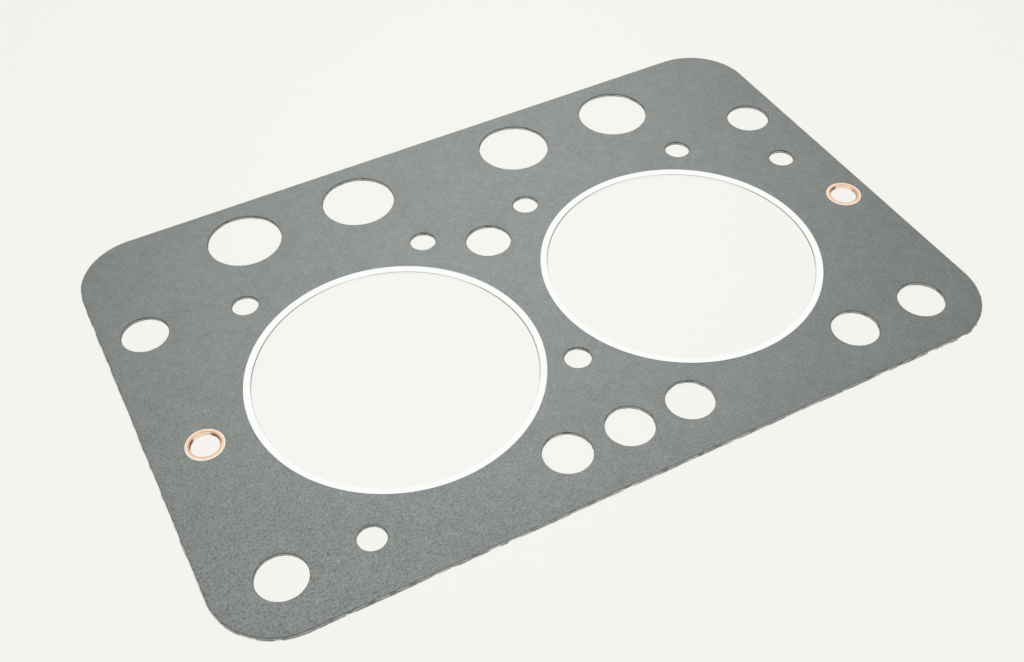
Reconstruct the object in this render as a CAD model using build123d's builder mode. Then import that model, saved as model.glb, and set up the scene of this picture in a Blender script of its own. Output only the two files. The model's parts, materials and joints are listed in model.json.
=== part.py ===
import os
from math import hypot

from build123d import *

# Cylinder head gasket for a two-cylinder engine, in millimetres.
# The sheet lies flat: X runs along the cylinders, Y towards the pushrod side, Z up.
# The origin is the middle of the sheet's outline, on the surface that it lies on.

# Sheet outline
sheet_length = 300.0
sheet_depth = 198.0
corner_radius = 25.0

# Layers of the sheet
core_thickness = 0.25
facing_thickness = 0.6

# Cylinders, with a folded steel ring round each opening
bore_spacing = 120.0
bore_line = -15.8
bore_opening = 103.4
ring_flange = 108.0
ring_gauge = 0.2
ring_fold = 0.5
ring_proud = 0.12

# Oil holes, with a rolled copper eyelet in each
oil_hole_left = -130.5
oil_hole_right = 138.3
oil_hole_row = 0.5
eyelet_opening = 10.1
eyelet_flange = 14.0
eyelet_gauge = 0.25
eyelet_fold = 0.4
eyelet_proud = 0.1
eyelet_rim = 0.2

# Plain holes: diameters, and places measured from the line of the bores
pushrod_hole = 29.0
pushrod_offset = 24.3
pushrod_row = 92.2
stud_hole = 17.5
near_row = -61.4
near_stud_span = 126.0
near_stud_offset = 24.3
odd_hole_span = 95.5
far_stud_span = 133.8
far_stud_row = 61.0
centre_stud_row = 45.3
water_hole = 10.0
far_water_left = -96.3
far_water_right = 95.4
far_water_inner = 22.8
far_water_row = 57.4
centre_water_row = -25.6
side_water_hole = (130.2, 31.6)

# Piercings that key the facings to the core, set out in staggered rows
piercing_side = 2.0
piercing_columns = 22
piercing_rows = 28
piercing_web = 1.2
piercing_cut = 0.4

# Slack left between pieces that are pressed together
seat_slack = 0.05

# Heights from the surface below, which the steel rings touch
sheet_bottom = ring_proud
core_bottom = sheet_bottom + facing_thickness
core_top = core_bottom + core_thickness
sheet_top = core_top + facing_thickness


def from_bores(x, y):
    return (x, bore_line + y)


bore_places = [from_bores(side * bore_spacing / 2, 0) for side in (-1, 1)]
oil_places = [from_bores(oil_hole_left, oil_hole_row), from_bores(oil_hole_right, oil_hole_row)]
pushrod_places = [
    from_bores(side * bore_spacing / 2 + offset, pushrod_row)
    for side in (-1, 1)
    for offset in (-pushrod_offset, pushrod_offset)
]
stud_places = [
    from_bores(-near_stud_span, near_row),
    from_bores(-near_stud_offset, near_row),
    from_bores(0, near_row),
    from_bores(near_stud_offset, near_row),
    from_bores(odd_hole_span, near_row),
    from_bores(near_stud_span, near_row),
    from_bores(-far_stud_span, far_stud_row),
    from_bores(0, centre_stud_row),
    from_bores(far_stud_span, far_stud_row),
]
water_places = [
    from_bores(-odd_hole_span, near_row),
    from_bores(0, centre_water_row),
    from_bores(*side_water_hole),
    from_bores(far_water_left, far_water_row),
    from_bores(-far_water_inner, far_water_row),
    from_bores(far_water_inner, far_water_row),
    from_bores(far_water_right, far_water_row),
]

# The layers stop short of each folded ring, where its inside corner begins to curve.
bore_seat = bore_opening / 2 + ring_fold
eyelet_seat = eyelet_opening / 2 + eyelet_fold


def web_to_outline(x, y):
    # Distance from a point inside the sheet to its rounded rectangular outline
    past_x = abs(x) - (sheet_length / 2 - corner_radius)
    past_y = abs(y) - (sheet_depth / 2 - corner_radius)
    if past_x > 0 and past_y > 0:
        return corner_radius - hypot(past_x, past_y)
    return corner_radius - max(past_x, past_y)


def web_to_edges(x, y):
    # Distance from a point in the sheet to the nearest edge, negative outside the sheet
    holes = [(place, bore_seat) for place in bore_places]
    holes += [(place, eyelet_seat) for place in oil_places]
    holes += [(place, pushrod_hole / 2) for place in pushrod_places]
    holes += [(place, stud_hole / 2) for place in stud_places]
    holes += [(place, water_hole / 2) for place in water_places]
    webs = [hypot(x - place[0], y - place[1]) - radius for place, radius in holes]
    return min(webs + [web_to_outline(x, y)])


def piercing_places():
    # Every other row is shifted by half a step, and the first and last rows lie on the long edges.
    # A piercing is kept whole inside a sound web, or well cut open by an edge.
    column_step = sheet_length / piercing_columns
    row_step = sheet_depth / piercing_rows
    kept = []
    for row in range(piercing_rows + 1):
        y = row * row_step - sheet_depth / 2
        shift = column_step / 2 * (row % 2)
        for column in range(piercing_columns + 1):
            x = column * column_step - sheet_length / 2 + shift
            web = web_to_edges(x, y)
            if web > piercing_side / 2 + piercing_web or abs(web) < piercing_cut:
                kept.append((x, y))
    return kept


# Outline and holes that every layer of the sheet shares
with BuildSketch() as sheet_profile:
    RectangleRounded(sheet_length, sheet_depth, corner_radius)
    with Locations(*bore_places):
        Circle(bore_seat, mode=Mode.SUBTRACT)
    with Locations(*oil_places):
        Circle(eyelet_seat, mode=Mode.SUBTRACT)
    with Locations(*pushrod_places):
        Circle(pushrod_hole / 2, mode=Mode.SUBTRACT)
    with Locations(*stud_places):
        Circle(stud_hole / 2, mode=Mode.SUBTRACT)
    with Locations(*water_places):
        Circle(water_hole / 2, mode=Mode.SUBTRACT)

# Steel core, pierced all over
with BuildPart() as steel_core:
    with BuildSketch(Plane.XY.offset(core_bottom)):
        add(sheet_profile.sketch)
        with Locations(*piercing_places()):
            Rectangle(piercing_side, piercing_side, mode=Mode.SUBTRACT)
    extrude(amount=core_thickness)

# Each facing is pressed in under the flanges of the rings and the eyelets.
ring_bite = ring_gauge - ring_proud
eyelet_bite = eyelet_gauge - eyelet_proud
ring_recess = ring_flange / 2 + seat_slack
eyelet_recess = eyelet_flange / 2 + seat_slack

with BuildPart() as lower_facing:
    with BuildSketch(Plane.XY.offset(sheet_bottom)):
        add(sheet_profile.sketch)
    extrude(amount=facing_thickness)
    with BuildSketch(Plane.XY.offset(sheet_bottom)):
        with Locations(*bore_places):
            Circle(ring_recess)
    extrude(amount=ring_bite, mode=Mode.SUBTRACT)
    with BuildSketch(Plane.XY.offset(sheet_bottom)):
        with Locations(*oil_places):
            Circle(eyelet_recess)
    extrude(amount=eyelet_bite, mode=Mode.SUBTRACT)

with BuildPart() as upper_facing:
    with BuildSketch(Plane.XY.offset(core_top)):
        add(sheet_profile.sketch)
    extrude(amount=facing_thickness)
    with BuildSketch(Plane.XY.offset(sheet_top)):
        with Locations(*bore_places):
            Circle(ring_recess)
    extrude(amount=-ring_bite, mode=Mode.SUBTRACT)
    with BuildSketch(Plane.XY.offset(sheet_top)):
        with Locations(*oil_places):
            Circle(eyelet_recess)
    extrude(amount=-eyelet_bite, mode=Mode.SUBTRACT)


def section_plane(place):
    # Upright plane through a hole's axis, whose local X is the radius and local Y the height
    return Plane(origin=(place[0], place[1], 0), x_dir=(1, 0, 0), z_dir=(0, -1, 0))


def folded_section(opening, flange, gauge, fold, bottom, top):
    # A strip folded outwards over both faces of the sheet, seen as its cut section
    with BuildSketch() as section:
        with BuildLine():
            Polyline(
                (flange / 2, bottom),
                (opening / 2, bottom),
                (opening / 2, top),
                (flange / 2, top),
                (flange / 2, top - gauge),
                (opening / 2 + gauge, top - gauge),
                (opening / 2 + gauge, bottom + gauge),
                (flange / 2, bottom + gauge),
                close=True,
            )
        make_face()
        wall_corners = section.vertices().group_by(Axis.X)
        fillet(wall_corners[0], fold)
        fillet(section.vertices().filter_by(lambda v: abs(v.X - opening / 2 - gauge) < 1e-6), fold - gauge)
    return section.sketch


ring_section = folded_section(
    bore_opening,
    ring_flange,
    ring_gauge,
    ring_fold,
    sheet_bottom - ring_proud,
    sheet_top + ring_proud,
)
eyelet_section = folded_section(
    eyelet_opening,
    eyelet_flange,
    eyelet_gauge,
    eyelet_fold,
    sheet_bottom - eyelet_proud,
    sheet_top + eyelet_proud,
)

os.makedirs("parts", exist_ok=True)

for name, place in zip(("fire_ring_left", "fire_ring_right"), bore_places):
    with BuildPart() as fire_ring:
        with BuildSketch(section_plane(place)):
            add(ring_section)
        revolve(axis=Axis((place[0], place[1], 0), (0, 0, 1)))
    fire_ring.part.label = name
    export_step(fire_ring.part, f"parts/{name}.step")

for name, place in zip(("oil_eyelet_left", "oil_eyelet_right"), oil_places):
    with BuildPart() as oil_eyelet:
        with BuildSketch(section_plane(place)):
            add(eyelet_section)
        revolve(axis=Axis((place[0], place[1], 0), (0, 0, 1)))
        outer_edges = oil_eyelet.edges().filter_by(GeomType.CIRCLE).group_by(SortBy.RADIUS)[-1]
        rims = outer_edges.sort_by(Axis.Z)
        fillet([rims[0], rims[-1]], eyelet_rim)
    oil_eyelet.part.label = name
    export_step(oil_eyelet.part, f"parts/{name}.step")

steel_core.part.label = "steel_core"
lower_facing.part.label = "lower_facing"
upper_facing.part.label = "upper_facing"
export_step(steel_core.part, "parts/steel_core.step")
export_step(lower_facing.part, "parts/lower_facing.step")
export_step(upper_facing.part, "parts/upper_facing.step")
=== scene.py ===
import json
from math import cos, floor, pi, radians, sin, sqrt

import bmesh
import bpy
from mathutils import Matrix, Quaternion, Vector, noise


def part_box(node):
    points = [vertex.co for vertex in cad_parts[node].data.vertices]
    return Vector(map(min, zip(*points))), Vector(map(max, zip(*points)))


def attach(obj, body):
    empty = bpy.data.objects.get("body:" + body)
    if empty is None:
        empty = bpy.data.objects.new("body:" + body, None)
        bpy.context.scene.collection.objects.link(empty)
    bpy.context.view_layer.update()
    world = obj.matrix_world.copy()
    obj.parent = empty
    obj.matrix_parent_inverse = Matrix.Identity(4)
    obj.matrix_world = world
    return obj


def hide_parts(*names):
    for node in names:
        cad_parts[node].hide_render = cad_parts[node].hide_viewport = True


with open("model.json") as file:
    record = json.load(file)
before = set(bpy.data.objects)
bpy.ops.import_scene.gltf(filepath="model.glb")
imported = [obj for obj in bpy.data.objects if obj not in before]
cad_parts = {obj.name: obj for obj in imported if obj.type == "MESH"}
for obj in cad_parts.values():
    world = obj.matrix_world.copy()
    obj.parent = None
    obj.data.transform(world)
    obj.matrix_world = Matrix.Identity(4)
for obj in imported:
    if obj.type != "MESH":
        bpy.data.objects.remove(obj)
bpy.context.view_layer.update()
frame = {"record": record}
print("frame loaded")

perMetre = 1000.0  # shapes are built in millimetres and scaled down when they are done


def boxInMm(node):
    low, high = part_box(node)
    return low * perMetre, high * perMetre


sheetHigh = boxInMm("upper_facing")[1]


# Shader helpers

noiseSpan = (0.3, 0.7)  # nearly all of a noise texture's values lie between these


def newMaterial(name):
    material = bpy.data.materials.new(name)
    material.use_nodes = True
    tree = material.node_tree
    return material, tree, tree.nodes["Principled BSDF"]


def setInputs(tree, node, inputs):
    for key, value in inputs.items():
        if isinstance(value, bpy.types.NodeSocket):
            tree.links.new(value, node.inputs[key])
        else:
            node.inputs[key].default_value = value


def addNode(tree, kind, inputs=None, **settings):
    node = tree.nodes.new("ShaderNode" + kind)
    for key, value in settings.items():
        setattr(node, key, value)
    setInputs(tree, node, inputs or {})
    return node


def objectCoords(tree, offset=(0, 0, 0), scale=(1, 1, 1)):
    source = addNode(tree, "TexCoord").outputs["Object"]
    inputs = {"Vector": source, "Location": offset, "Scale": scale}
    return addNode(tree, "Mapping", inputs).outputs["Vector"]


def partsOf(tree, vector):
    return addNode(tree, "SeparateXYZ", {"Vector": vector}).outputs


def dotWith(tree, vector, toward):
    inputs = {0: vector, 1: toward}
    return addNode(tree, "VectorMath", inputs, operation="DOT_PRODUCT").outputs["Value"]


def noiseValue(tree, vector, scale, detail=2.0, rough=0.5):
    inputs = {"Vector": vector, "Scale": scale, "Detail": detail, "Roughness": rough}
    return addNode(tree, "TexNoise", inputs).outputs[0]


def remap(tree, value, fromLow, fromHigh, toLow=0.0, toHigh=1.0, smooth=False):
    inputs = {"Value": value, "From Min": fromLow, "From Max": fromHigh, "To Min": toLow, "To Max": toHigh}
    kind = "SMOOTHSTEP" if smooth else "LINEAR"
    return addNode(tree, "MapRange", inputs, interpolation_type=kind).outputs["Result"]


def calc(tree, operation, first, second=0.0, clamp=False):
    node = addNode(tree, "Math", {0: first, 1: second}, operation=operation, use_clamp=clamp)
    return node.outputs["Value"]


def addShare(tree, base, value, share):
    return calc(tree, "ADD", base, calc(tree, "MULTIPLY", value, share))


def mixColors(tree, factor, first, second):
    # The node's sockets 6 and 7 are the two colours, and its output 2 is their mix.
    node = addNode(tree, "Mix", data_type="RGBA")
    for socket, value in ((node.inputs["Factor"], factor), (node.inputs[6], first), (node.inputs[7], second)):
        if isinstance(value, bpy.types.NodeSocket):
            tree.links.new(value, socket)
        else:
            socket.default_value = value if isinstance(value, float) else (*value, 1.0)
    return node.outputs[2]


def bumpNormal(tree, height, span):
    inputs = {"Height": height, "Distance": span, "Strength": 1.0}
    return addNode(tree, "Bump", inputs).outputs["Normal"]


# Piercings of the core, which also show through the facings as faint bumps

piercings = {
    "pitch": Vector((7.02, 6.89)),  # mm, with a second piercing in the middle of each cell
    "first": Vector((4.0, 2.2)),
    "side": 2.0,
    "web": 0.9,                     # least metal left between a whole piercing and a cut edge
}


def nearestPiercing(point):
    pitch, first = piercings["pitch"], piercings["first"]
    found = []
    for shift in (0.0, 0.5):
        column = round((point.x - first.x) / pitch.x - shift) + shift
        row = round((point.y - first.y) / pitch.y - shift) + shift
        found.append(Vector((first.x + column * pitch.x, first.y + row * pitch.y)))
    return min(found, key=lambda place: (place - point.xy).length)


def piercingWave(tree):
    # cos x times cos y, which peaks at 1 over every piercing of the staggered pattern
    pitch, first = piercings["pitch"], piercings["first"]
    turns = [2 * pi * perMetre / pitch.x, 2 * pi * perMetre / pitch.y, 0.0]
    phase = [-2 * pi * first.x / pitch.x, -2 * pi * first.y / pitch.y, 0.0]
    axes = partsOf(tree, objectCoords(tree, phase, turns))
    return calc(tree, "MULTIPLY", calc(tree, "COSINE", axes["X"]), calc(tree, "COSINE", axes["Y"]))


# Materials: lengths are metres and noises are per metre, except where a note says mm

facingLook = {
    "dark": (0.112, 0.124, 0.116),
    "light": (0.418, 0.446, 0.423),
    "grain": 2000.0,                      # the pressed fibre's grain
    "grainTone": (0.32, 0.68, 0.12, 0.62),
    "mottle": 210.0,                      # slow change of tone
    "mottleShare": 0.24,
    "tangRange": (0.35, 1.0),             # of the wave that peaks over each piercing
    "tangShare": 0.05,
    "grit": 1150.0,                       # coarser dark and light grains
    "gritPits": (0.36, 0.28, 0.0, 2.0),   # the darkest of them
    "gritShare": (0.20, 0.05),            # near the camera's corner, and past the middle
    "gritFade": (-0.26, -0.08),           # along X plus gritLean times Y
    "gritLean": 1.5,
    "speck": 2600.0,                      # single fibres
    "lightSpecks": (0.66, 0.78, 0.0, 0.6),
    "darkSpecks": (0.34, 0.22, 0.0, 0.4),
    "roughness": (0.62, 0.80),
    "specular": 0.35,
    "grainHeight": 0.8,
    "tangHeight": 0.9,
    "bumpSpan": 0.00008,
}


def facingMaterial():
    look = facingLook
    material, tree, shader = newMaterial("pressed facing")
    coords = objectCoords(tree)
    grain = noiseValue(tree, coords, look["grain"], 3.0, 0.7)
    mottle = noiseValue(tree, coords, look["mottle"], 2.0, 0.6)
    grit = noiseValue(tree, coords, look["grit"], 2.0, 0.6)
    speck = noiseValue(tree, coords, look["speck"], 1.0)
    tang = remap(tree, piercingWave(tree), *look["tangRange"], smooth=True)

    tone = remap(tree, grain, *look["grainTone"])
    tone = addShare(tree, tone, mottle, look["mottleShare"])
    tone = addShare(tree, tone, tang, look["tangShare"])
    place = partsOf(tree, coords)
    share = addShare(tree, place["X"], place["Y"], look["gritLean"])
    share = remap(tree, share, *look["gritFade"], *look["gritShare"])
    pits = remap(tree, grit, *look["gritPits"])
    grit = calc(tree, "SUBTRACT", remap(tree, grit, *noiseSpan, -1.0, 1.0), pits)
    tone = addShare(tree, tone, grit, share)
    tone = calc(tree, "ADD", tone, remap(tree, speck, *look["lightSpecks"]))
    tone = calc(tree, "SUBTRACT", tone, remap(tree, speck, *look["darkSpecks"]), clamp=True)

    height = addShare(tree, calc(tree, "MULTIPLY", grain, look["grainHeight"]), tang, look["tangHeight"])
    setInputs(tree, shader, {
        "Base Color": mixColors(tree, tone, look["dark"], look["light"]),
        "Roughness": remap(tree, grain, *noiseSpan, *look["roughness"]),
        "Specular IOR Level": look["specular"],
        "Normal": bumpNormal(tree, height, look["bumpSpan"]),
    })
    return material


cutLook = {
    "fibres": (700.0, 700.0, 5200.0),  # layers that run along the sheet
    # Painted light: the same fibre gets a lighter tone at the outline, whose side gets little light, and a
    # darker one at the holes, whose far sides the lamp lights.
    "fibre": {
        "outline": ((0.580, 0.590, 0.580), (0.880, 0.885, 0.870)),
        "hole": ((0.260, 0.270, 0.262), (0.460, 0.470, 0.460)),
    },
    "patches": 320.0,
    "patchTone": (0.25, 0.65, 0.5, 1.0),
    "smear": ((0.115, 0.125, 0.117), (0.225, 0.235, 0.225)),  # painted shade, the dark band under the upper face where the cut lies in shade
    "smearDepth": (0.18, 0.62),        # mm below the upper face, at the near edge and at the far one
    "smearFade": (-0.08, 0.06),        # along Y
    "smearCorners": (-0.105, -0.130),  # along X, towards the two left corners
    "smearGain": 0.17,                 # mm that it gains there
    "smearBlur": 0.00006,
    "spot": (0.090, 0.098, 0.092),     # where the cut runs through a piercing: the darker core, with painted shade of the notch
    "spotShare": {"outline": 0.55, "hole": 0.85},
    "spotEdge": {"outline": (0.31, 0.36), "hole": (0.24, 0.34)},
    "spotLuck": 95.0,                  # picks the piercings that show
    "luckRange": (0.42, 0.52),
    "roughness": 0.85,
    "specular": 0.2,
    "bumpSpan": 0.00006,
}


def cutMaterial(rimKind):
    # The cut side of a facing, at the outline or at a hole
    look = cutLook
    material, tree, shader = newMaterial("cut side at the " + rimKind)
    coords = objectCoords(tree)
    place = partsOf(tree, coords)
    fibres = noiseValue(tree, objectCoords(tree, scale=look["fibres"]), 1.0, 3.0, 0.7)
    patches = remap(tree, noiseValue(tree, coords, look["patches"], 2.0, 0.6), *look["patchTone"])
    tone = calc(tree, "MULTIPLY", remap(tree, fibres, *noiseSpan), patches)

    # Painted shade: a dark band below the upper face, thinner near the front edge and deeper towards the far
    # edge and the left corners.
    depths = [depth / perMetre for depth in look["smearDepth"]]
    reach = calc(tree, "ADD", remap(tree, place["Y"], *look["smearFade"], *depths), place["Z"])
    gain = remap(tree, place["X"], *look["smearCorners"], 0.0, look["smearGain"] / perMetre)
    reach = calc(tree, "ADD", reach, gain)
    top = sheetHigh.z / perMetre
    smear = remap(tree, reach, top - look["smearBlur"], top + look["smearBlur"], smooth=True)
    fibre = mixColors(tree, tone, *look["fibre"][rimKind])
    color = mixColors(tree, smear, fibre, mixColors(tree, tone, *look["smear"]))

    luck = remap(tree, noiseValue(tree, coords, look["spotLuck"], 1.0), *look["luckRange"], smooth=True)
    start, end = look["spotEdge"][rimKind]
    spot = remap(tree, piercingWave(tree), start, end, 0.0, look["spotShare"][rimKind], smooth=True)
    setInputs(tree, shader, {
        "Base Color": mixColors(tree, calc(tree, "MULTIPLY", spot, luck), color, look["spot"]),
        "Roughness": look["roughness"],
        "Specular IOR Level": look["specular"],
        "Normal": bumpNormal(tree, fibres, look["bumpSpan"]),
    })
    return material


coreLook = {
    "dark": (0.36, 0.36, 0.35),
    "light": (0.72, 0.73, 0.72),
    "stain": 240.0,
    "stainRange": (0.35, 0.6),
    "streaks": (900.0, 900.0, 9000.0),
    "roughness": (0.28, 0.50),
    "bumpSpan": 0.00003,
}


def coreMaterial():
    look = coreLook
    material, tree, shader = newMaterial("sheared core steel")
    streaks = noiseValue(tree, objectCoords(tree, scale=look["streaks"]), 1.0, 2.0)
    stain = noiseValue(tree, objectCoords(tree), look["stain"], 3.0, 0.6)
    tone = remap(tree, stain, *look["stainRange"])
    setInputs(tree, shader, {
        "Base Color": mixColors(tree, tone, look["dark"], look["light"]),
        "Roughness": remap(tree, streaks, *noiseSpan, *look["roughness"]),
        "Metallic": 1.0,
        "Normal": bumpNormal(tree, streaks, look["bumpSpan"]),
    })
    return material


def fromCentre(tree, centre):
    # Distance from a ring's axis, and the direction away from it
    offset = (-centre.x / perMetre, -centre.y / perMetre, 0.0)
    axes = partsOf(tree, objectCoords(tree, offset))
    across = addNode(tree, "CombineXYZ", {"X": axes["X"], "Y": axes["Y"]}).outputs["Vector"]
    distance = addNode(tree, "VectorMath", {0: across}, operation="LENGTH").outputs["Value"]
    return distance, addNode(tree, "VectorMath", {0: across}, operation="NORMALIZE").outputs["Vector"]


def nearAngle(tree, away, angle, reach):
    # 1 at an angle round the ring, fading to 0 at the reach on both sides, in degrees
    toward = (cos(radians(angle)), sin(radians(angle)), 0.0)
    near = dotWith(tree, away, toward)
    return remap(tree, near, cos(radians(reach)), cos(radians(reach * 0.5)), smooth=True)


ringLook = {
    "steel": (0.970, 0.985, 0.970),
    "line": (0.180, 0.180, 0.175),  # painted shade and dark reflection, a line along the bend
    "lineUp": 0.34,                 # mm above the bend's middle
    "lineHalf": 0.13,               # mm, half its width
    "lineBlur": 0.4,
    "wornAt": (66.0, 44.0),         # degrees round the ring where the painted line fades, and half the reach
    "wornShare": 0.7,
    "rolled": 5200.0,               # rolling marks, outwards from the axis
    "smear": 90.0,
    "gloss": (0.4, 0.6),            # shares of the marks and of the smears
    "glossRange": (0.35, 0.65),
    "roughness": (0.12, 0.20),
    "rolledHeight": 0.3,
    "bumpSpan": 0.00002,
}


def ringMaterial(side, centre):
    look = ringLook
    material, tree, shader = newMaterial("rolled ring steel " + side)
    distance, away = fromCentre(tree, centre)
    outwards = addNode(tree, "CombineXYZ", {"X": distance}).outputs["Vector"]
    rolled = noiseValue(tree, outwards, look["rolled"], 2.0)
    smear = noiseValue(tree, objectCoords(tree), look["smear"], 2.0, 0.6)

    # Painted shade and dark reflection: a line along the bend, fading round part of the ring.
    height = partsOf(tree, objectCoords(tree))["Z"]
    height = calc(tree, "SUBTRACT", height, (centre.z + look["lineUp"]) / perMetre)
    outer = (1 + look["lineBlur"]) * look["lineHalf"] / perMetre
    inner = (1 - look["lineBlur"]) * look["lineHalf"] / perMetre
    line = remap(tree, calc(tree, "ABSOLUTE", height), outer, inner, smooth=True)
    kept = remap(tree, nearAngle(tree, away, *look["wornAt"]), 0.0, 1.0, 1.0, 1.0 - look["wornShare"])
    line = calc(tree, "MULTIPLY", line, kept)

    marks, smears = look["gloss"]
    gloss = addShare(tree, calc(tree, "MULTIPLY", rolled, marks), smear, smears)
    relief = addShare(tree, smear, rolled, look["rolledHeight"])
    setInputs(tree, shader, {
        "Base Color": mixColors(tree, line, look["steel"], look["line"]),
        "Roughness": remap(tree, gloss, *look["glossRange"], *look["roughness"]),
        "Metallic": 1.0,
        "Normal": bumpNormal(tree, relief, look["bumpSpan"]),
    })
    return material


copperLook = {
    "body": (0.985, 0.725, 0.535),
    # painted highlight, the cream shine on the flange's rim and inside the opening
    "worn": (1.000, 0.920, 0.810),
    # the tarnish's dark tone, also used for a painted shade band near the fold
    "crease": (0.540, 0.310, 0.200),
    "tarnish": 420.0,
    "tarnishTone": (0.42, 0.75, 0.0, 0.22),
    "creaseBand": (0.25, 0.32, 0.36, 0.44),  # places from the opening at 0 to the flange's rim at 1
    "rimBand": (0.66, 0.86),
    "insideBand": (0.26, 0.12),
    "insideWorn": 0.3,
    # painted dark reflection on the eyelet's inside wall
    "stain": (0.230, 0.110, 0.060),
    "stainAt": {                             # degrees round the eyelet, half the reach, and the strength
        "left": ((152.0, 34.0, 1.0), (14.0, 46.0, 1.0)),
        "right": ((118.0, 34.0, 1.0), (-26.0, 50.0, 0.5)),
    },
    "roughness": (0.24, 0.36),
    "bumpSpan": 0.00003,
}


def copperMaterial(side, centre, openingRadius, flangeRadius):
    look = copperLook
    material, tree, shader = newMaterial("rolled copper " + side)
    distance, away = fromCentre(tree, centre)
    tarnish = noiseValue(tree, objectCoords(tree), look["tarnish"], 3.0, 0.6)
    share = remap(tree, distance, openingRadius / perMetre, flangeRadius / perMetre)

    color = mixColors(tree, remap(tree, tarnish, *look["tarnishTone"]), look["body"], look["crease"])
    # Painted shade: a darker ring near the opening's fold.
    start, full, last, end = look["creaseBand"]
    crease = remap(tree, share, start, full, smooth=True)
    crease = calc(tree, "MULTIPLY", crease, remap(tree, share, end, last, smooth=True))
    color = mixColors(tree, crease, color, look["crease"])
    # Painted highlight on the flange's rim and on the inside wall.
    color = mixColors(tree, remap(tree, share, *look["rimBand"], smooth=True), color, look["worn"])
    inside = remap(tree, share, *look["insideBand"], smooth=True)
    color = mixColors(tree, calc(tree, "MULTIPLY", inside, look["insideWorn"]), color, look["worn"])
    # Painted dark reflections on the inside wall, at fixed places round each eyelet.
    for angle, reach, strength in look["stainAt"][side]:
        stain = calc(tree, "MULTIPLY", nearAngle(tree, away, angle, reach), strength)
        color = mixColors(tree, calc(tree, "MULTIPLY", stain, inside), color, look["stain"])
    setInputs(tree, shader, {
        "Base Color": color,
        "Roughness": remap(tree, tarnish, *noiseSpan, *look["roughness"]),
        "Metallic": 1.0,
        "Normal": bumpNormal(tree, tarnish, look["bumpSpan"]),
    })
    return material


# Layers of the sheet

sheet = {
    "corner": 25.0,
    "cornerPieces": 70,
    "step": 0.55,         # mm between points along a cut
    "leastPieces": 40,    # round a small hole
    "inset": 0.08,        # the cut wanders by less than this, so the sheet keeps its size
    "ringSeat": 0.5,      # a ring's inside corner, which the layers stop short of
    "eyeletSeat": 0.45,
    "seatSlack": 0.05,
    "ringGauge": 0.2,
    "eyeletGauge": 0.25,
    "rolledRim": 0.20,    # the punch drags the upper rim down a little
    "rolledShare": 0.3,   # where the rim's curve is halfway
}

sheetHalf = sheetHigh.xy
innerHalf = sheetHalf - Vector((sheet["corner"], sheet["corner"]))


def seatOf(name, opening):
    # Radii of the layers' edge and of the recess round it, and how deep the flange bites into the facing
    for start, node, fold, gauge in (
        ("cylinder_bore_", "fire_ring_", sheet["ringSeat"], sheet["ringGauge"]),
        ("oil_hole_", "oil_eyelet_", sheet["eyeletSeat"], sheet["eyeletGauge"]),
    ):
        if name.startswith(start):
            low, high = boxInMm(node + name[len(start):])
            return opening + fold, (high.x - low.x) / 2 + sheet["seatSlack"], gauge - (high.z - sheetHigh.z)
    return opening, None, 0.0


def readRims():
    # The outline, which has no centre, and then every hole
    rims = [{"centre": None, "radius": None, "recess": None, "bite": 0.0}]
    for mount in frame["record"]["mounts"]:
        if mount["kind"] == "bore":
            radius, recess, bite = seatOf(mount["name"], mount["dims"]["r_mm"])
            centre = Vector(mount["pos_m"]).xy * perMetre
            rims.append({"centre": centre, "radius": radius, "recess": recess, "bite": bite})
    return rims


rims = readRims()


def awayFrom(rim, point):
    # Direction in the sheet's plane that leads out of the material at a rim
    if rim["centre"] is not None:
        return (rim["centre"] - point.xy).normalized()
    nearest = Vector((
        max(-innerHalf.x, min(innerHalf.x, point.x)),
        max(-innerHalf.y, min(innerHalf.y, point.y)),
    ))
    return (point.xy - nearest).normalized()


def webToRims(point):
    webs = [(point - rim["centre"]).length - rim["radius"] for rim in rims[1:]]
    past = Vector((abs(point.x) - innerHalf.x, abs(point.y) - innerHalf.y))
    if past.x > 0 and past.y > 0:
        webs.append(sheet["corner"] - past.length)
    else:
        webs.append(sheet["corner"] - max(past))
    return min(webs)


def bevelCorners(bm, verts, offset, pieces):
    bmesh.ops.bevel(
        bm,
        geom=verts,
        offset=offset,
        offset_type="OFFSET",
        segments=pieces,
        profile=0.5,
        affect="VERTICES",
        material=-1,
    )


def makeHoleRim(bm, rim, radius):
    pieces = max(sheet["leastPieces"], round(2 * pi * radius / sheet["step"]))
    if rim["recess"]:
        pieces = round(pieces / 2)
    place = Matrix.Translation((*rim["centre"], 0))
    made = bmesh.ops.create_circle(bm, cap_ends=False, segments=pieces, radius=radius, matrix=place)
    found = {edge for vert in made["verts"] for edge in vert.link_edges}
    return sorted(found, key=lambda edge: edge.index)


def makeOutline(bm, inset):
    # The outline is made before the holes, so all edges in the mesh are its own.
    half = sheetHalf - Vector((inset, inset))
    size = Matrix.Diagonal((*half, 1, 1))
    made = bmesh.ops.create_grid(bm, x_segments=1, y_segments=1, size=1.0, matrix=size)
    bevelCorners(bm, made["verts"], sheet["corner"] - inset, sheet["cornerPieces"])
    plate = bm.faces[:]
    straight = [edge for edge in plate[0].edges if edge.calc_length() > sheet["corner"]]
    for edge in straight:
        bmesh.ops.subdivide_edges(bm, edges=[edge], cuts=round(edge.calc_length() / sheet["step"]))
    bmesh.ops.delete(bm, geom=plate, context="FACES_ONLY")
    return bm.edges[:]


cutShape = {
    "drift": 0.035,       # mm, slow waver
    "driftPitch": 0.3,    # per mm
    "frayPitch": 1.9,
    "heightPitch": 2.0,   # a cut changes faster from face to face than along the sheet
    "luckPitch": 3.1,
    "leastReach": 0.6,    # share of the reach that the smallest tear has
    "tearPower": 4,
    "holeTears": 0.25,    # a hole is cut cleaner than the outline
    "outwards": 0.8,      # share of the inset that the outline may wander out
}


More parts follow.
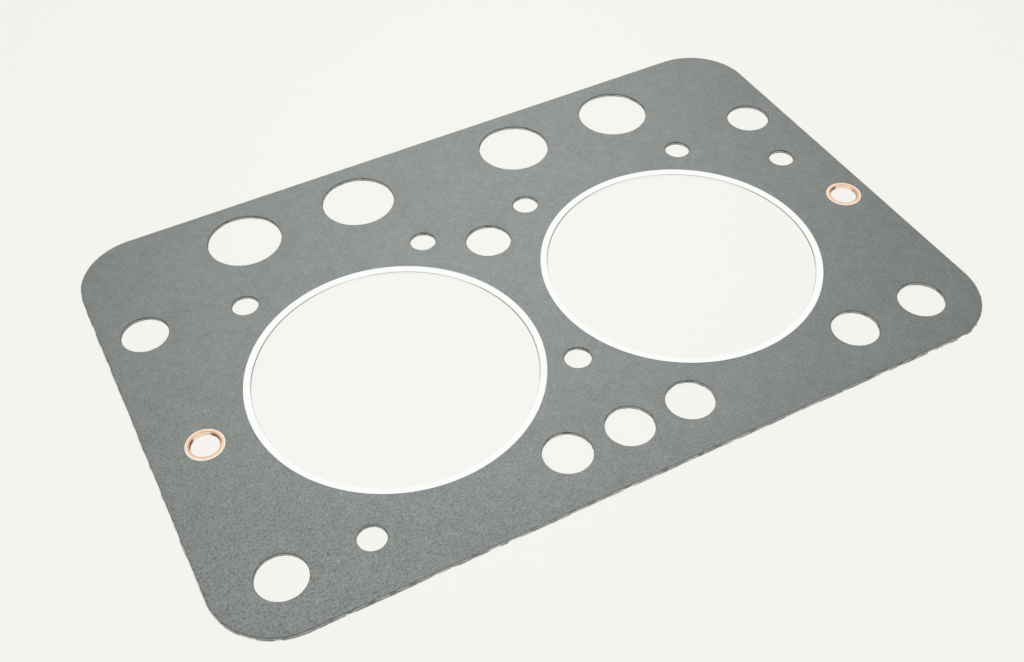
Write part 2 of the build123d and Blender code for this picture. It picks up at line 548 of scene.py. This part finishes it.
def layerCut(layer, rim, point, z):
    # How far out of the material a cut's point stands, negative where it is torn back
    if rim["recess"]:
        return 0.0
    cut, pitch = cutShape, piercings["pitch"]
    spot = Vector((point.x, point.y, z * cut["heightPitch"] + layer["seed"]))
    slow = cut["drift"] * noise.noise(spot * cut["driftPitch"])
    drift = slow + layer["fray"] * noise.noise(spot * cut["frayPitch"])
    isHole = rim["centre"] is not None
    piercing = nearestPiercing(point)
    luck = noise.cell(Vector((piercing.x, piercing.y, layer["seed"])) * cut["luckPitch"])
    if luck > layer["tearLuck"]:
        reach = layer["tearReach"] * (cut["leastReach"] + (1 - cut["leastReach"]) * luck)
        gap = (piercing - point.xy).length / reach
        tear = min(layer["tearDepth"], max(0.0, 1 - gap ** cut["tearPower"])) * luck
        drift -= tear * (cut["holeTears"] if isHole else 1.0)
    if isHole:
        return drift
    cell = Vector((floor(point.x / pitch.x), floor(point.y / pitch.y), layer["seed"]))
    behind = 0.5 + 0.5 * noise.cell(cell)
    return min(drift, cut["outwards"] * sheet["inset"]) - layer["back"] - layer["step"] * behind


def layerRim(bm, layer, rim, radius):
    # An edge loop along the rim, in the plane of the layer's outer face
    edges = makeOutline(bm, radius) if rim["centre"] is None else makeHoleRim(bm, rim, radius)
    verts = {vert: True for edge in edges for vert in edge.verts}
    for vert in verts:
        away = awayFrom(rim, vert.co)
        vert.co.xy += away * layerCut(layer, rim, vert.co, 0)
    return edges


flatFinish, outlineFinish, holeFinish = range(3)  # a facing's materials, in their order


def walkDown(bm, layer, rim, edges, rows):
    # Extrudes a rim's loop through the rows of (distance out of the material, height)
    out, topHeight = rows[0]
    finish = outlineFinish if rim["centre"] is None else holeFinish
    for target, height in rows[1:]:
        geom = bmesh.ops.extrude_edge_only(bm, edges=edges)["geom"]
        for item in geom:
            if isinstance(item, bmesh.types.BMFace):
                item.material_index = finish
        verts = {item for item in geom if isinstance(item, bmesh.types.BMVert)}
        edges = [item for item in geom if isinstance(item, bmesh.types.BMEdge) and set(item.verts) <= verts]
        for vert in verts:
            start = vert.co.copy()
            away = awayFrom(rim, start)
            before = layerCut(layer, rim, start, topHeight if vert.co.z > -1e-6 else vert.co.z)
            change = layerCut(layer, rim, start, height) - before
            vert.co.xy += away * (target - out + change)
            vert.co.z = height
        out = target
    return edges


def facingMesh(layer, thickness):
    bm = bmesh.new()
    roll = sheet["rolledRim"]
    halfway = -sheet["rolledShare"] * roll
    loops = []
    for rim in rims:
        if rim["recess"]:
            start = rim["recess"]
            inward = rim["recess"] - rim["radius"]
            rows = [(0, 0), (0, -rim["bite"]), (inward, -rim["bite"]), (inward, -thickness)]
        else:
            start = roll + (sheet["inset"] if rim["centre"] is None else rim["radius"])
            rows = [(-roll, 0), (halfway, halfway), (0, -roll), (0, -thickness / 2), (0, -thickness)]
        loops.append((rim, layerRim(bm, layer, rim, start), rows))
    bmesh.ops.triangle_fill(bm, use_beauty=True, use_dissolve=False, edges=bm.edges[:], normal=(0, 0, 1))
    bottomEdges = []
    for rim, edges, rows in loops:
        bottomEdges += walkDown(bm, layer, rim, edges, rows)
    bmesh.ops.triangle_fill(bm, use_beauty=True, use_dissolve=False, edges=bottomEdges, normal=(0, 0, -1))
    return bm


def wholePiercings():
    pitch, first = piercings["pitch"], piercings["first"]
    columns = int(sheetHalf.x / pitch.x) + 2
    rows = int(sheetHalf.y / pitch.y) + 2
    least = piercings["side"] / sqrt(2) + piercings["web"]
    found = []
    for shift in (0.0, 0.5):
        for row in range(-rows, rows + 1):
            for column in range(-columns, columns + 1):
                place = Vector((first.x + (column + shift) * pitch.x, first.y + (row + shift) * pitch.y))
                if webToRims(place) > least:
                    found.append(place)
    return found


def coreMesh(layer, thickness):
    bm = bmesh.new()
    for rim in rims:
        layerRim(bm, layer, rim, sheet["inset"] if rim["centre"] is None else rim["radius"])
    radius = piercings["side"] / sqrt(2)
    for place in wholePiercings():
        turn = Matrix.Translation((*place, 0)) @ Matrix.Rotation(pi / 4, 4, "Z")
        bmesh.ops.create_circle(bm, cap_ends=False, segments=4, radius=radius, matrix=turn)
    made = bmesh.ops.triangle_fill(
        bm,
        use_beauty=True,
        use_dissolve=False,
        edges=bm.edges[:],
        normal=(0, 0, 1),
    )
    faces = [item for item in made["geom"] if isinstance(item, bmesh.types.BMFace)]
    lower = bmesh.ops.extrude_face_region(bm, geom=faces)["geom"]
    verts = [item for item in lower if isinstance(item, bmesh.types.BMVert)]
    bmesh.ops.translate(bm, verts=verts, vec=(0, 0, -thickness))
    return bm


def finishPiece(bm, name, node, materials, smoothBelow=32.0):
    bmesh.ops.recalc_face_normals(bm, faces=bm.faces[:])
    bm.normal_update()
    for face in bm.faces:
        face.smooth = True
        if abs(face.normal.z) > 0.95:
            face.material_index = flatFinish
    for edge in bm.edges:
        edge.smooth = edge.calc_face_angle(pi) < radians(smoothBelow)
    bmesh.ops.scale(bm, vec=(1 / perMetre,) * 3, verts=bm.verts[:])
    mesh = bpy.data.meshes.new(name)
    bm.to_mesh(mesh)
    bm.free()
    for material in materials:
        mesh.materials.append(material)
    piece = bpy.data.objects.new(name, mesh)
    bpy.context.scene.collection.objects.link(piece)
    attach(piece, "root")
    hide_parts(node)
    print("made", name, len(mesh.polygons), "faces")


facingFinish = [facingMaterial(), cutMaterial("outline"), cutMaterial("hole")]

upperLayer = {
    "seed": 3.0,
    "fray": 0.05,       # mm
    "back": 0.42,       # mm that the outline stays behind the lowest layer's
    "step": 0.0,        # mm that it may be further back, from one cell of piercings to the next
    "tearDepth": 0.08,  # mm, at a piercing that the cut runs through
    "tearReach": 1.55,
    "tearLuck": 0.4,    # from -1, where every piercing is torn, to 1
}


def makeUpperFacing():
    low, high = boxInMm("upper_facing")
    bm = facingMesh(upperLayer, high.z - low.z)
    bmesh.ops.translate(bm, verts=bm.verts[:], vec=(0, 0, high.z))
    finishPiece(bm, "upperFacing", "upper_facing", facingFinish)


lowerLayer = {
    "seed": 11.0,
    "fray": 0.09,
    "back": 0.0,
    "step": 0.30,
    "tearDepth": 0.8,
    "tearReach": 2.6,
    "tearLuck": 0.0,
}


def makeLowerFacing():
    low, high = boxInMm("lower_facing")
    bm = facingMesh(lowerLayer, high.z - low.z)
    bmesh.ops.scale(bm, vec=(1, 1, -1), verts=bm.verts[:])
    bmesh.ops.translate(bm, verts=bm.verts[:], vec=(0, 0, low.z))
    finishPiece(bm, "lowerFacing", "lower_facing", facingFinish)


coreLayer = {
    "seed": 19.0,
    "fray": 0.04,
    "back": 0.18,
    "step": 0.08,
    "tearDepth": 0.35,
    "tearReach": 1.7,
    "tearLuck": 0.3,
}


def makeCore():
    low, high = boxInMm("steel_core")
    bm = coreMesh(coreLayer, high.z - low.z)
    bmesh.ops.translate(bm, verts=bm.verts[:], vec=(0, 0, high.z))
    finishPiece(bm, "steelCore", "steel_core", [coreMaterial()])


makeUpperFacing()
makeLowerFacing()
makeCore()
print("sheet done")


# Folded fire rings and rolled eyelets

fireRing = {
    "gauge": 0.2,
    "fold": 0.8,
    "foldPieces": 12,
    "nose": 0.5,       # mm, how far the bend stands into the opening
    "rim": 0.06,       # softened edge of the flange
    "turns": 320,
    "crown": 0.0,      # mm, how far the flange drops from its crest
    "waver": 0.045,    # mm, how far the flange's edge runs out of true
}
oilEyelet = {
    "gauge": 0.25,
    "fold": 0.45,
    "foldPieces": 8,
    "nose": 0.0,
    "rim": 0.11,
    "turns": 128,
    "crown": 0.12,
    "waver": 0.05,
}
stripShape = {
    "rimPieces": 3,
    "longEdge": 0.5,   # mm, above which an edge of the section is cut up
    "longCuts": 6,
    "waves": 12.0,     # the waver's noise, over the flange's radius
    "heightShare": 0.2,
    "rimPower": 4,     # the waver grows towards the rim
}


def stripSection(bm, strip, opening, flange, bottom, top):
    # The folded strip's cut section, as a loop of edges in the XZ plane
    gauge = strip["gauge"]
    wall = opening + gauge
    corners = (
        (flange, bottom),
        (opening, bottom),
        (opening, top),
        (flange, top),
        (flange, top - gauge),
        (wall, top - gauge),
        (wall, bottom + gauge),
        (flange, bottom + gauge),
    )
    verts = [bm.verts.new((radius, 0, height)) for radius, height in corners]
    bm.faces.new(verts)
    bevelCorners(bm, verts[1:3], strip["fold"], strip["foldPieces"])
    low, high = bottom + gauge / 2, top - gauge / 2
    inside = [vert for vert in bm.verts if abs(vert.co.x - wall) < 1e-4 and low < vert.co.z < high]
    bevelCorners(bm, inside, strip["fold"] - gauge, strip["foldPieces"] // 2)
    tips = [vert for vert in bm.verts if abs(vert.co.x - flange) < 1e-4]
    bevelCorners(bm, tips, strip["rim"], stripShape["rimPieces"])
    long = [edge for edge in bm.edges if edge.calc_length() > stripShape["longEdge"]]
    bmesh.ops.subdivide_edges(bm, edges=long, cuts=stripShape["longCuts"])
    bmesh.ops.delete(bm, geom=bm.faces[:], context="FACES_ONLY")


def makeStrip(name, node, strip, opening, material):
    low, high = boxInMm(node)
    centre = (low + high) / 2
    flange = (high.x - low.x) / 2
    opening -= strip["nose"]
    bm = bmesh.new()
    stripSection(bm, strip, opening, flange, low.z, high.z)
    crest = (opening + strip["fold"] + flange) / 2
    span = flange - crest
    for vert in bm.verts:
        side = 1 if vert.co.z > centre.z else -1
        lean = min(1.0, abs(vert.co.x - crest) / span) ** 2
        if vert.co.x > opening + 0.5 * strip["fold"]:
            vert.co.z -= side * strip["crown"] * lean
    bmesh.ops.spin(
        bm,
        geom=bm.verts[:] + bm.edges[:],
        cent=(0, 0, 0),
        axis=(0, 0, 1),
        angle=2 * pi,
        steps=strip["turns"],
        use_merge=True,
        use_duplicate=False,
    )
    for vert in bm.verts:
        radius = vert.co.xy.length
        share = max(0.0, (radius - opening) / (flange - opening))
        spot = Vector((vert.co.x, vert.co.y, vert.co.z * stripShape["heightShare"]))
        wave = 0.5 + 0.5 * noise.noise(spot * (stripShape["waves"] / flange))
        inset = strip["waver"] * wave * share ** stripShape["rimPower"]
        vert.co.xy *= 1 - inset / radius
    bmesh.ops.translate(bm, verts=bm.verts[:], vec=(centre.x, centre.y, 0))
    finishPiece(bm, name, node, [material], 40.0)


def openingOf(name):
    return next(mount["dims"]["r_mm"] for mount in frame["record"]["mounts"] if mount["name"] == name)


for side in ("left", "right"):
    low, high = boxInMm("fire_ring_" + side)
    opening = openingOf("cylinder_bore_" + side)
    finish = ringMaterial(side, (low + high) / 2)
    makeStrip("fireRing" + side.title(), "fire_ring_" + side, fireRing, opening, finish)

for side in ("left", "right"):
    low, high = boxInMm("oil_eyelet_" + side)
    opening = openingOf("oil_hole_" + side)
    finish = copperMaterial(side, (low + high) / 2, opening, (high.x - low.x) / 2)
    makeStrip("oilEyelet" + side.title(), "oil_eyelet_" + side, oilEyelet, opening, finish)
print("rings and eyelets done")


# Floor, light and camera

stageLook = {
    "pale": (0.925, 0.910, 0.878),  # the photograph's background
    "plain": 0.93,                  # share of the floor's look that no shadow reaches
    "floorHalf": 6.0,
    "far": 0.962,                   # the backdrop's share of pale, which is the far floor's tone
}


def makeFloor():
    bm = bmesh.new()
    bmesh.ops.create_grid(bm, x_segments=1, y_segments=1, size=stageLook["floorHalf"])
    mesh = bpy.data.meshes.new("floor")
    bm.to_mesh(mesh)
    bm.free()
    ground = bpy.data.objects.new("floor", mesh)
    bpy.context.scene.collection.objects.link(ground)
    material, tree, shader = newMaterial("pale floor")
    pale = (*stageLook["pale"], 1)
    setInputs(tree, shader, {"Base Color": pale, "Roughness": 1.0, "Specular IOR Level": 0.0})
    even = addNode(tree, "Emission", {"Color": pale, "Strength": 1.0})
    ray = addNode(tree, "LightPath").outputs
    seen = calc(tree, "MAXIMUM", ray["Is Camera Ray"], ray["Is Glossy Ray"])
    seen = calc(tree, "MULTIPLY", seen, stageLook["plain"])
    mix = addNode(tree, "MixShader", {0: seen, 1: shader.outputs["BSDF"], 2: even.outputs["Emission"]})
    setInputs(tree, tree.nodes["Material Output"], {"Surface": mix.outputs["Shader"]})
    mesh.materials.append(material)


studio = {
    "dome": 0.46,            # the white tent's light on the object
    "mirrored": 1.0,         # the same tent as bare metal mirrors it
    "hem": (0.16, 0.36),     # sines of the heights between which its dark hem ends, in bare metal only
    "hemLeft": 0.03,         # what is left of its light there
    "windows": (             # lit places in the hem, and half angles
        ((-0.966, -0.259, 0.0), 15.0),
        ((0.0, -1.0, 0.0), 13.0),
        ((0.443, 0.896, 0.0), 42.0),
    ),
    "windowBlur": 5.0,
    "lampPlace": (0.002, 0.045, 0.34),
    "lampTurn": -34.0,
    "lampSize": (0.11, 0.44),
    "lampSpread": 100.0,
    "lampPower": 0.33,
}


def makeWorld():
    world = bpy.data.worlds.new("tent")
    world.use_nodes = True
    bpy.context.scene.world = world
    tree = world.node_tree
    tree.nodes.clear()
    direction = addNode(tree, "TexCoord").outputs["Generated"]
    height = partsOf(tree, direction)["Z"]
    strength = remap(tree, height, *studio["hem"], studio["hemLeft"], 1.0, smooth=True)
    for toward, half in studio["windows"]:
        near = dotWith(tree, direction, toward)
        outer, inner = half + studio["windowBlur"], half - studio["windowBlur"]
        lit = remap(tree, near, cos(radians(outer)), cos(radians(inner)), smooth=True)
        strength = calc(tree, "MAXIMUM", strength, lit)
    ray = addNode(tree, "LightPath").outputs
    mirrored = calc(tree, "MULTIPLY", strength, studio["mirrored"])
    inputs = {"Factor": ray["Is Glossy Ray"], "A": studio["dome"], "B": mirrored}
    strength = addNode(tree, "Mix", inputs).outputs["Result"]
    tent = addNode(tree, "Background", {"Color": (1, 1, 1, 1), "Strength": strength})
    behind = addNode(tree, "Background", {"Color": (*stageLook["pale"], 1), "Strength": stageLook["far"]})
    inputs = {0: ray["Is Camera Ray"], 1: tent.outputs["Background"], 2: behind.outputs["Background"]}
    mix = addNode(tree, "MixShader", inputs)
    addNode(tree, "OutputWorld", {"Surface": mix.outputs["Shader"]})


def makeLamp():
    lamp = bpy.data.lights.new("soft box", "AREA")
    lamp.shape = "RECTANGLE"
    lamp.size, lamp.size_y = studio["lampSize"]
    lamp.spread = radians(studio["lampSpread"])
    lamp.energy = studio["lampPower"]
    holder = bpy.data.objects.new("soft box", lamp)
    holder.location = studio["lampPlace"]
    holder.rotation_euler.z = radians(studio["lampTurn"])
    holder.visible_glossy = False  # the metal mirrors the tent alone
    bpy.context.scene.collection.objects.link(holder)


viewpoint = {
    "place": (-0.1551, -0.3028, 0.3348),
    "aim": (-0.0140, -0.0171, 0.0),
    "roll": 1.84,    # degrees, the photograph leans a little
    "lens": 44.25,
    "sensor": 36.0,
    "nearest": 0.01,
}


def makeCamera():
    camera = bpy.data.cameras.new("camera")
    camera.lens = viewpoint["lens"]
    camera.sensor_width = viewpoint["sensor"]
    camera.clip_start = viewpoint["nearest"]
    holder = bpy.data.objects.new("camera", camera)
    place, aim = Vector(viewpoint["place"]), Vector(viewpoint["aim"])
    look = (aim - place).to_track_quat("-Z", "Y")
    holder.rotation_mode = "QUATERNION"
    holder.rotation_quaternion = look @ Quaternion((0, 0, 1), radians(-viewpoint["roll"]))
    holder.location = place
    bpy.context.scene.collection.objects.link(holder)
    bpy.context.scene.camera = holder


makeFloor()
makeWorld()
makeLamp()
makeCamera()
bpy.context.scene.view_settings.view_transform = "Standard"
print("stage done")

bpy.context.view_layer.update()
